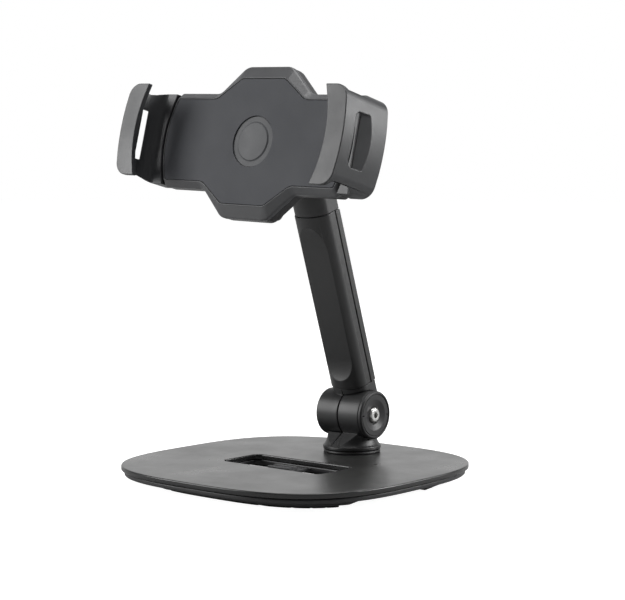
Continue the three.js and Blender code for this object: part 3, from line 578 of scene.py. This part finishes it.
# ---------------------------------------------------------------- hinge caps and pivot screws
# Each hinge is clamped by a socket screw through both halves of its drum. A dished disc under the screw has
# a turned groove and two holes for a pin key; a plug closes the far end, and nylon washers take the rub.
bright_steel = skin("bright_steel", (0.56, 0.56, 0.55), 0.36, 2600, 0.00001, pebble=0.1, wear=0.0,
                    worn=(0.6, 0.6, 0.6), dust=0.02, drift=0.08, uneven=0.06, metallic=1.0)
nylon = skin("nylon", (0.62, 0.60, 0.55), 0.48, 1200, 0.00003, pebble=0.3, wear=0.1,
             worn=(0.7, 0.68, 0.62), dust=0.05, drift=0.06, specular=0.5)


def disc_cap(name, radius):
    """The dished disc, drawn from its hub outwards and back, then bored."""
    flat = radius - 2
    cap = turn_up(name, [
        (radius - 0.15, 16.3), (radius, 16.45), (radius, 17.65), (radius - 0.12, 17.95),
        (radius - 0.8, 18.62), (radius - 1.0, 18.7), (flat + 0.42, 18.7), (flat + 0.28, 18.55),
        (flat + 0.2, 18.1), (flat - 0.2, 18.1), (flat - 0.28, 18.4), (flat - 0.42, 18.5),
        (radius - 5.2, 18.5), (radius - 5.5, 18.42), (6.05, 17.28), (5.8, 17.2)], 128)
    carve(cap, rod("tool", 5.35, 10, 20, 96))
    for side in (1, -1):
        carve(cap, rod("tool", 0.55, 17.7, 20, 24, side * 0.6, side * (flat - 1.2)))
    return across(cap)


def pivot_screw(name):
    screw = turn_up(name, [
        (2.4, -15), (2.5, -14.8), (2.5, 16.3), (4.6, 16.3), (4.75, 16.45), (4.75, 17.1), (4.62, 17.6),
        (4.3, 18.1), (3.9, 18.42), (3.4, 18.62), (2.9, 18.7)], 96)
    socket = rod("tool", 2.02, 17.0, 20, 6)
    carve(screw, socket)
    return across(soften(screw, 0.12, 2, angle=50))


def end_plug(name):
    return across(turn_up(name, [
        (5.3, -17), (5.5, -16.7), (5.5, -15.5), (5.4, -15.4)], 96))


HINGES = {
    "lower": (lower_place, "post", arm_place, LOWER_DRUM + 0.3),
    "upper": (upper_place, "bracket", arm_place @ Matrix.Translation((0, 0, ARM_LENGTH)), UPPER_DRUM + 0.3),
}
for name, (place, cap_body, plug_place, radius) in HINGES.items():
    settle(disc_cap(f"{name}_disc", radius), place, cap_body, "moulded_black", moulded_black,
           f"{name}_disc_cap")
    settle(pivot_screw(f"{name}_socket_screw"), place, cap_body, "bright_steel", bright_steel,
           f"{name}_pivot_screw")
    settle(end_plug(f"{name}_plug"), plug_place, "arm", "moulded_black", moulded_black,
           f"{name}_end_plug")


# ---------------------------------------------------------------- arm
# A flat-sided tube with a bowed front: a shell, a middle frame and a rear cover, screwed together over a bar.
# A long flat in the front rises to the bow along an arc at each end. Each knuckle carries half a drum.
HALF_WIDTH, SHOULDER, BOW, BACK = 13.0, 4.0, 9.0, 13.5
TUBE = (18, 129)
FLAT = {"start": 23.5, "end": 123, "depth": 3.3, "low": 13, "high": 17}
SHELL_BACK, FRAME_FRONT, FRAME_BACK, COVER_FRONT = 4.6, 4.9, 9.0, 9.3
SEAM = 0.02
ARM_SCREWS = (40, 107)


def arm_outline(front, back, inset=0):
    """The tube's section between two depths: a bowed front, flat sides and a flat back."""
    half, bow = HALF_WIDTH - inset, BOW - inset
    steps = 36
    reach = math.asin(min(1, max(0, SHOULDER - front) / bow))
    depths = [back] + [SHOULDER - bow * math.sin(reach * i / steps) for i in range(steps + 1)]
    if front >= SHOULDER:
        depths = [back, front]
    right = [(half * math.sqrt(max(0, 1 - (max(0, SHOULDER - y) / bow) ** 2)), y) for y in depths]
    left = [(-x, y) for x, y in reversed(right) if x > 0.01]
    return right + left


def pull_to(piece, outline):
    """Moves the points of a ring, one by one, to an outline."""
    for point, (x, y) in zip(piece.data.vertices, outline):
        point.co.x, point.co.y = x, y
    return piece


def sawn(name, outline, low, high):
    """A bar of the given outline: a filled ring pulled to shape, then drawn up."""
    draw(bpy.ops.mesh.primitive_circle_add, name, vertices=len(outline), fill_type="NGON",
         location=(0, 0, low))
    ring = pull_to(leave_edit(), outline)
    bpy.ops.object.mode_set(mode="EDIT")
    bpy.ops.mesh.select_all(action="SELECT")
    pull_up(high - low)
    bpy.ops.mesh.select_all(action="SELECT")
    bpy.ops.mesh.normals_make_consistent(inside=False)
    return leave_edit()


def moved(piece, x=0, y=0, z=0):
    piece.data.transform(Matrix.Translation((x, y, z)))
    return piece


def from_front(piece):
    """Lays a tool that was drawn up the Z axis so that it points backwards, along the Y axis."""
    piece.data.transform(Matrix.Rotation(-math.pi / 2, 4, "X"))
    return piece


def stood_up(piece):
    """Stands a piece that was drawn in X and Y up in X and Z; what was up now points forwards."""
    piece.data.transform(Matrix.Rotation(math.pi / 2, 4, "X"))
    return piece


def knuckle(name, radius, neck_from, neck_to, pocket):
    """A neck that fills the tube's end, cleared round the other half's drum, and its own half drum."""
    neck = sawn(name, arm_outline(SHOULDER - BOW + 0.4, BACK - 0.4, 0.4), neck_from, neck_to)
    carve(neck, across(rod("tool", radius + 0.6, -HALF_GAP, 30, 96)))
    carve(neck, drum("tool", radius, -17, -HALF_GAP), operation="UNION")
    carve(neck, pin_hole(), across(rod("tool", 5.8, -22, -9.3)),
          block("tool", (-9.3, -0.1, pocket[0]), (9.3, 3.5, pocket[1])))
    return soften(neck, 0.2, 3)


lower_knuckle = knuckle("lower_knuckle_casting", LOWER_DRUM, 4, TUBE[0] - 0.3, (15.9, TUBE[0]))
settle(lower_knuckle, arm_place, "arm", "satin_black_metal", satin_black, "lower_knuckle")
upper_knuckle = knuckle("upper_knuckle_casting", UPPER_DRUM, TUBE[1] + 0.3 - ARM_LENGTH, -4,
                        (TUBE[1] - ARM_LENGTH, TUBE[1] + 8 - ARM_LENGTH))
settle(moved(upper_knuckle, z=ARM_LENGTH), arm_place, "arm", "satin_black_metal", satin_black,
       "upper_knuckle")

front_shell = sawn("arm_bowed_shell", arm_outline(SHOULDER - BOW, SHELL_BACK), *TUBE)
crest = SHOULDER - BOW
shares = [1 - step / 16 for step in range(17)]
low_end = [(FLAT["start"] + FLAT["low"] * (1 - t), crest + FLAT["depth"] * (1 - t * t)) for t in shares]
high_end = [(FLAT["end"] - FLAT["high"] * (1 - t), crest + FLAT["depth"] * (1 - t * t)) for t in shares]
side_line = [(FLAT["start"], crest - 5)] + low_end + high_end[::-1] + [(FLAT["end"], crest - 5)]
flat_tool = across(sawn("tool", [(-s, y) for s, y in side_line], -18, 18))
carve(front_shell, block("tool", (-9.4, -0.2, 10), (9.4, 6, 150)), flat_tool)
soften(front_shell, 0.3, 3)
settle(front_shell, arm_place, "arm", "satin_black_metal", satin_black, "arm_front_shell")

middle = sawn("arm_middle_frame", arm_outline(FRAME_FRONT, FRAME_BACK, 0.5), *TUBE)
carve(middle, sawn("tool", arm_outline(SHELL_BACK + SEAM, COVER_FRONT - SEAM, 3), *TUBE), operation="UNION")
rear = sawn("arm_rear_shell", arm_outline(COVER_FRONT, BACK), *TUBE)
for s in ARM_SCREWS:
    carve(middle, moved(from_front(rod("tool", 1.5, -30, 30)), z=s))
    carve(rear, moved(from_front(rod("tool", 1.5, -30, 30)), z=s),
          moved(from_front(rod("tool", 2.7, 12, 30)), z=s))
soften(middle, 0.15, 2)
soften(rear, 0.45, 3)
settle(middle, arm_place, "arm", "satin_black_metal", satin_black, "arm_frame")
settle(rear, arm_place, "arm", "satin_black_metal", satin_black, "arm_rear_cover")

for number, s in enumerate(ARM_SCREWS, 1):
    screw = turn_up(f"arm_cover_screw_{number}", [
        (1.2, 3), (1.2, 12.6), (2.4, 12.6), (2.4, 13.5), (2.2, 13.85), (1.8, 14)], 48)
    carve(screw, cross_recess(0.8, 1.3, 14))
    settle(moved(from_front(screw), z=s), arm_place, "arm", "dark_steel", dark_steel, f"arm_screw_{number}")


# ---------------------------------------------------------------- tilt bracket
# The other half of the upper drum, with a web out to a round flange. The holder turns on the flange's face
# against a nylon washer, held by a socket screw and a plate inside the rear shell.
bracket = turn_up("tilt_bracket_casting", [
    (11.7, 15.2), (12.1, 15.25), (16.2, 17.3), (16.5, 17.7), (16.5, 20.1), (16.35, 20.45),
    (16.0, 20.6)], 128)
carve(bracket, block("tool", (HALF_GAP, -9, 2), (11, 9, 18)), drum("tool", UPPER_DRUM, HALF_GAP, 16),
      operation="UNION")
carve(bracket, pin_hole(), across(rod("tool", WASHER_SEAT, -5, HALF_GAP + 1)), rod("tool", PIN_BORE, 14, 22))
soften(bracket, 0.2, 3)
settle(bracket, upper_place, "bracket", "satin_black_metal", satin_black, "tilt_bracket")


# ---------------------------------------------------------------- holder: frame, shell, pad and button
# Two moulded shells meet in a stepped seam and hold the jaw slides. The front frame has a sloping edge round
# a soft rubber pad, and a sunk ring with a raised button sits in the middle of the pad.
PAD_LINE = {"top": 36.7, "corner": 16.5, "arm": 24.4, "neck": 34, "end": 70, "bow": 5, "r": (6, 9, 2.2)}
HOUSING_LINE = {"top": 44.8, "corner": 17.2, "arm": 28.7, "neck": 35, "end": 72.5, "bow": 5.2,
                "r": (9, 8, 2.6)}
SHELL_SCREWS = [(-13, 33), (13, 33), (-13, -33), (13, -33)]
GUIDE = {"inner": 14.5, "outer": 21.5, "reach": 34, "front": -7.3, "back": -10.9}
frame_plastic = skin("frame_plastic", (0.060, 0.061, 0.064), 0.46, 1500, 0.00003, pebble=0.5, wear=0.3,
                     worn=(0.12, 0.12, 0.12), dust=0.04, drift=0.15, specular=0.45)
shell_plastic = skin("shell_plastic", (0.022, 0.022, 0.023), 0.46, 1400, 0.00004, pebble=0.6, wear=0.3,
                     worn=(0.10, 0.10, 0.10), dust=0.04, drift=0.15, specular=0.45)
pad_rubber = skin("pad_rubber", (0.054, 0.056, 0.062), 0.70, 1900, 0.00003, pebble=0.7, wear=0.2,
                  worn=(0.09, 0.09, 0.10), dust=0.06, drift=0.08, specular=0.35)


def corner(before, at, after, radius, steps=10):
    """The points of a rounded corner between two straight lines."""
    inward, outward = (before - at).normalized(), (after - at).normalized()
    half = math.acos(max(-1, min(1, inward.dot(outward)))) / 2
    reach = radius / math.tan(half)
    centre = at + (inward + outward).normalized() * radius / math.sin(half)
    first, last = at + inward * reach - centre, at + outward * reach - centre
    sweep = math.atan2(first.x * last.y - first.y * last.x, first.dot(last))
    points = []
    for step in range(steps + 1):
        turn = sweep * step / steps
        cos, sin = math.cos(turn), math.sin(turn)
        points.append(centre + Vector((first.x * cos - first.y * sin, first.x * sin + first.y * cos)))
    return points


def holder_outline(line, grow=0):
    """A wide middle, sloping shoulders and two arms with bowed ends, worked out for one quarter."""
    r1, r2, r3 = line["r"]
    top, arm, end = line["top"] + grow, line["arm"] + grow, line["end"] + grow
    shoulder = Vector((line["corner"] + grow * 0.4, top))
    crook = Vector((line["neck"] + grow * 0.4, arm))
    tip = Vector((end - line["bow"], arm))

    def end_x(y):
        return end - line["bow"] * (y / arm) ** 2

    low = Vector((end_x(line["arm"] * 0.8), line["arm"] * 0.8))
    quarter = corner(Vector((0, top)), shoulder, crook, r1 + grow)
    quarter += corner(shoulder, crook, tip, r2) + corner(crook, tip, low, r3)
    foot = quarter[-1].y
    quarter += [Vector((end_x(foot * share / 10), foot * share / 10)) for share in range(9, 0, -1)]
    right = quarter + [Vector((end, 0))] + [Vector((p.x, -p.y)) for p in reversed(quarter)]
    left = [Vector((-p.x, p.y)) for p in reversed(right)]
    return [(p.x, p.y) for p in reversed(right + left)]


def stacked(name, rings):
    """A shell through a stack of rings, each pulled to its outline and bridged to the next, ends closed."""
    made = []
    for outline, height in rings:
        draw(bpy.ops.mesh.primitive_circle_add, name, vertices=len(outline), fill_type="NOTHING",
             location=(0, 0, height))
        made.append(pull_to(leave_edit(), outline))
    for ring in made:
        ring.select_set(True)
    bpy.ops.object.join()
    whole = bpy.context.object
    whole.name = name
    bpy.ops.object.mode_set(mode="EDIT")
    bpy.ops.mesh.select_all(action="SELECT")
    bpy.ops.mesh.bridge_edge_loops()
    bpy.ops.mesh.select_all(action="SELECT")
    bpy.ops.mesh.region_to_loop()
    bpy.ops.mesh.edge_face_add()
    bpy.ops.mesh.select_all(action="SELECT")
    bpy.ops.mesh.normals_make_consistent(inside=False)
    return leave_edit()


front_frame = stacked("holder_front_frame", [
    (holder_outline(HOUSING_LINE), -6.2),
    (holder_outline(HOUSING_LINE), -3.8),
    (holder_outline(HOUSING_LINE, -0.5), -3.0),
    (holder_outline(PAD_LINE, 1.2), -0.35),
    (holder_outline(PAD_LINE, 0.7), 0),
])
carve(front_frame, sawn("tool", holder_outline(PAD_LINE, 0.3), -1.5, 5))
carve(front_frame, rod("tool", 2.1, -10.4, -5), operation="UNION")
carve(front_frame, *[rod("tool", 1.5, -9, -2.6, 32, x, y) for x, y in SHELL_SCREWS])
soften(front_frame, 0.3, 3)
settle(front_frame, holder_place, "holder", "frame_plastic", frame_plastic, "front_frame")

rear_shell = stacked("holder_rear_shell", [
    (holder_outline(HOUSING_LINE, -2.2), -13.5),
    (holder_outline(HOUSING_LINE, -1.1), -13.1),
    (holder_outline(HOUSING_LINE, -0.4), -12.3),
    (holder_outline(HOUSING_LINE, -0.2), -11.1),
    (holder_outline(HOUSING_LINE, -0.2), -6.5),
])
POD_LINE = dict(HOUSING_LINE, arm=22, neck=30, end=38, bow=2, r=(6, 3, 2))
pod = stacked("tool", [
    (holder_outline(POD_LINE, -3.9), -18), (holder_outline(POD_LINE, -3.1), -17.6),
    (holder_outline(POD_LINE, -1.2), -12.5)])
carve(rear_shell, pod, operation="UNION")
carve(rear_shell, rounded_block("tool", 0, 0, 46, 46, 8, -15.8, 0),
      block("tool", (-90, -GUIDE["outer"] - 0.3, GUIDE["back"] - 0.3), (90, GUIDE["outer"] + 0.3, 0)),
      rod("tool", 4.2, -30, 0))
for x, y in SHELL_SCREWS:
    carve(rear_shell, rod("tool", 1.9, -30, 0, 32, x, y), rod("tool", 3.4, -30, -10.5, 48, x, y))
soften(rear_shell, 0.25, 3)
settle(rear_shell, holder_place, "holder", "shell_plastic", shell_plastic, "rear_shell")

pad = sawn("holder_front_pad", holder_outline(PAD_LINE), -1.2, 0)
carve(pad, rod("tool", 15, -5, 5, 128))
soften(pad, 0.25, 3)
settle(pad, holder_place, "holder", "pad_rubber", pad_rubber, "front_pad")

button = turn_up("centre_button", [
    (14.7, -1.2), (14.7, -0.85), (14.6, -0.75), (11.75, -0.75), (11.5, -0.7), (10.95, -0.18),
    (10.7, -0.1), (2, -0.1)], 160)
button_rubber = skin("button_rubber", (0.044, 0.046, 0.050), 0.55, 1900, 0.00002, pebble=0.5, wear=0.3,
                     worn=(0.13, 0.13, 0.14), dust=0.04, drift=0.06, specular=0.45)
settle(button, holder_place, "holder", "pad_rubber", button_rubber, "centre_cap")

for number, (x, y) in enumerate(SHELL_SCREWS, 1):
    screw = turn_up(f"shell_cover_screw_{number}", [
        (1.2, 3), (1.2, 10.8), (3, 10.8), (3, 12.5), (2.8, 12.85), (2.2, 13)], 48)
    carve(screw, cross_recess(0.9, 1.6, 13))
    flip = holder_place @ Matrix.Translation((x, y, 0)) @ Matrix.Rotation(math.pi, 4, "X")
    settle(screw, flip, "holder", "dark_steel", dark_steel, f"shell_screw_{number}")


# ---------------------------------------------------------------- jaws and lip pads
# Each jaw is one moulding: a bowed wall with a lip in front, hollow behind, and a scooped window through
# which a finger pulls it out. Two guides run into the shells. A ribbed rubber pad lines each lip.
JAW = {"half": 27.5, "outer": 85.6, "bow": 3.2, "front": 23.5, "back": -13.5, "lip": 3, "wall": 4,
       "corner": 8.5, "floor": -0.6}
WINDOW = {"half": 15, "front": 14.2, "sill": 7.6, "heel": -1, "corner": 3.5}
jaw_plastic = skin("jaw_plastic", (0.028, 0.029, 0.031), 0.42, 1500, 0.00003, pebble=0.5, wear=0.3,
                   worn=(0.14, 0.14, 0.14), dust=0.03, drift=0.12, specular=0.5)


def section_along_y(name, section, half):
    """A tool whose section is drawn in X and Z, and which runs along Y."""
    return stood_up(sawn(name, section, -half, half))


def jaw(name):
    half, outer, front = JAW["half"], JAW["outer"], JAW["front"]

    def outer_x(y):
        return outer - JAW["bow"] * (y / half) ** 2

    def inner_x(y):
        return HOUSING_LINE["end"] + 0.6 - HOUSING_LINE["bow"] * (y / half) ** 2

    heights = [half * share for share in (-0.66, -0.5, -0.33, -0.17, 0, 0.17, 0.33, 0.5, 0.66)]
    foot = corner(Vector((inner_x(half), -half)), Vector((outer_x(half), -half)),
                  Vector((outer_x(heights[0]), heights[0])), JAW["corner"])
    head = [Vector((p.x, -p.y)) for p in reversed(foot)]
    outline = [(inner_x(half), -half)] + [tuple(p) for p in foot]
    outline += [(outer_x(y), y) for y in heights[1:-1]] + [tuple(p) for p in head]
    outline += [(inner_x(half), half)] + [(inner_x(y), y) for y in reversed(heights)]
    body = sawn(name, outline, JAW["back"], front)
    inside = outer - JAW["wall"]
    floor, sill = JAW["floor"], WINDOW["sill"]
    middle, deep = (WINDOW["front"] + WINDOW["heel"]) / 2, WINDOW["front"] - WINDOW["heel"]
    hollow = section_along_y("tool", [
        (50, floor), (75.5, floor), (77.2, 0.1), (78.7, 1.5), (80.5, 4.6), (inside - 0.3, sill),
        (inside, sill + 2), (inside, front - JAW["lip"] - 1.5), (inside - 0.45, front - JAW["lip"] - 0.45),
        (inside - 1.5, front - JAW["lip"]), (50, front - JAW["lip"])], half + 5)
    scoop = section_along_y("tool", [
        (outer + 8, WINDOW["heel"] - 6), (outer, WINDOW["heel"]), (inside + 0.6, sill),
        (60, sill + 0.4), (60, WINDOW["front"]), (outer + 8, WINDOW["front"])], WINDOW["half"])
    bar = across(rounded_block("tool", -middle, 0, deep, 2 * WINDOW["half"], WINDOW["corner"], 60, outer + 3))
    carve(body, hollow, carve(scoop, bar, operation="INTERSECT"))
    for side in (1, -1):
        near, far = sorted((GUIDE["inner"] * side, GUIDE["outer"] * side))
        carve(body, block("tool", (GUIDE["reach"], near, GUIDE["back"]), (78, far, GUIDE["front"])),
              operation="UNION")
    carve(body, block("tool", (66, -12.4, GUIDE["back"] - 0.3), (79.3, -6.2, GUIDE["front"] + 0.3)))
    return soften(body, 0.55, 4)


def lip_pad(name):
    pad = rounded_block(name, 77.2, 0, 7, 44, 1.5, 19.1, 20.2)
    ribs = [block("tool", (70, 4 * step - 0.4, 18), (84, 4 * step + 0.4, 19.45)) for step in range(-5, 6)]
    return soften(carve(pad, *ribs), 0.15, 2)


for side, angle in (("right", 0), ("left", math.pi)):
    place = holder_place @ Matrix.Rotation(angle, 4, "Z")
    body = f"{side}_jaw"
    settle(jaw(f"{side}_jaw_moulding"), place, body, "jaw_plastic", jaw_plastic, f"{side}_jaw")
    settle(lip_pad(f"{side}_lip_rubber"), place, body, "foot_rubber", foot_rubber, f"{side}_lip_pad")


# ---------------------------------------------------------------- what stays as the frame has it
# The plain hidden pieces keep their own shape and only take a finish: weights, nuts, washers, bar and gears.
KEPT = {
    "dark_steel": (dark_steel, ("front_weight", "rear_weight", "swivel_bolt", "arm_core_bar",
                                "lower_pivot_nut", "upper_pivot_nut", "spindle_plate")),
    "bright_steel": (bright_steel, ("swivel_spring_washer", "spindle_screw", "return_spring")),
    "nylon": (nylon, ("lower_friction_washer", "upper_friction_washer", "spin_washer", "pinion",
                      "left_rack", "right_rack")),
}
for slot, (material, nodes) in KEPT.items():
    for node in nodes:
        piece = frame["nodes"][node]
        piece.data.materials.clear()
        piece.data.materials.append(material)
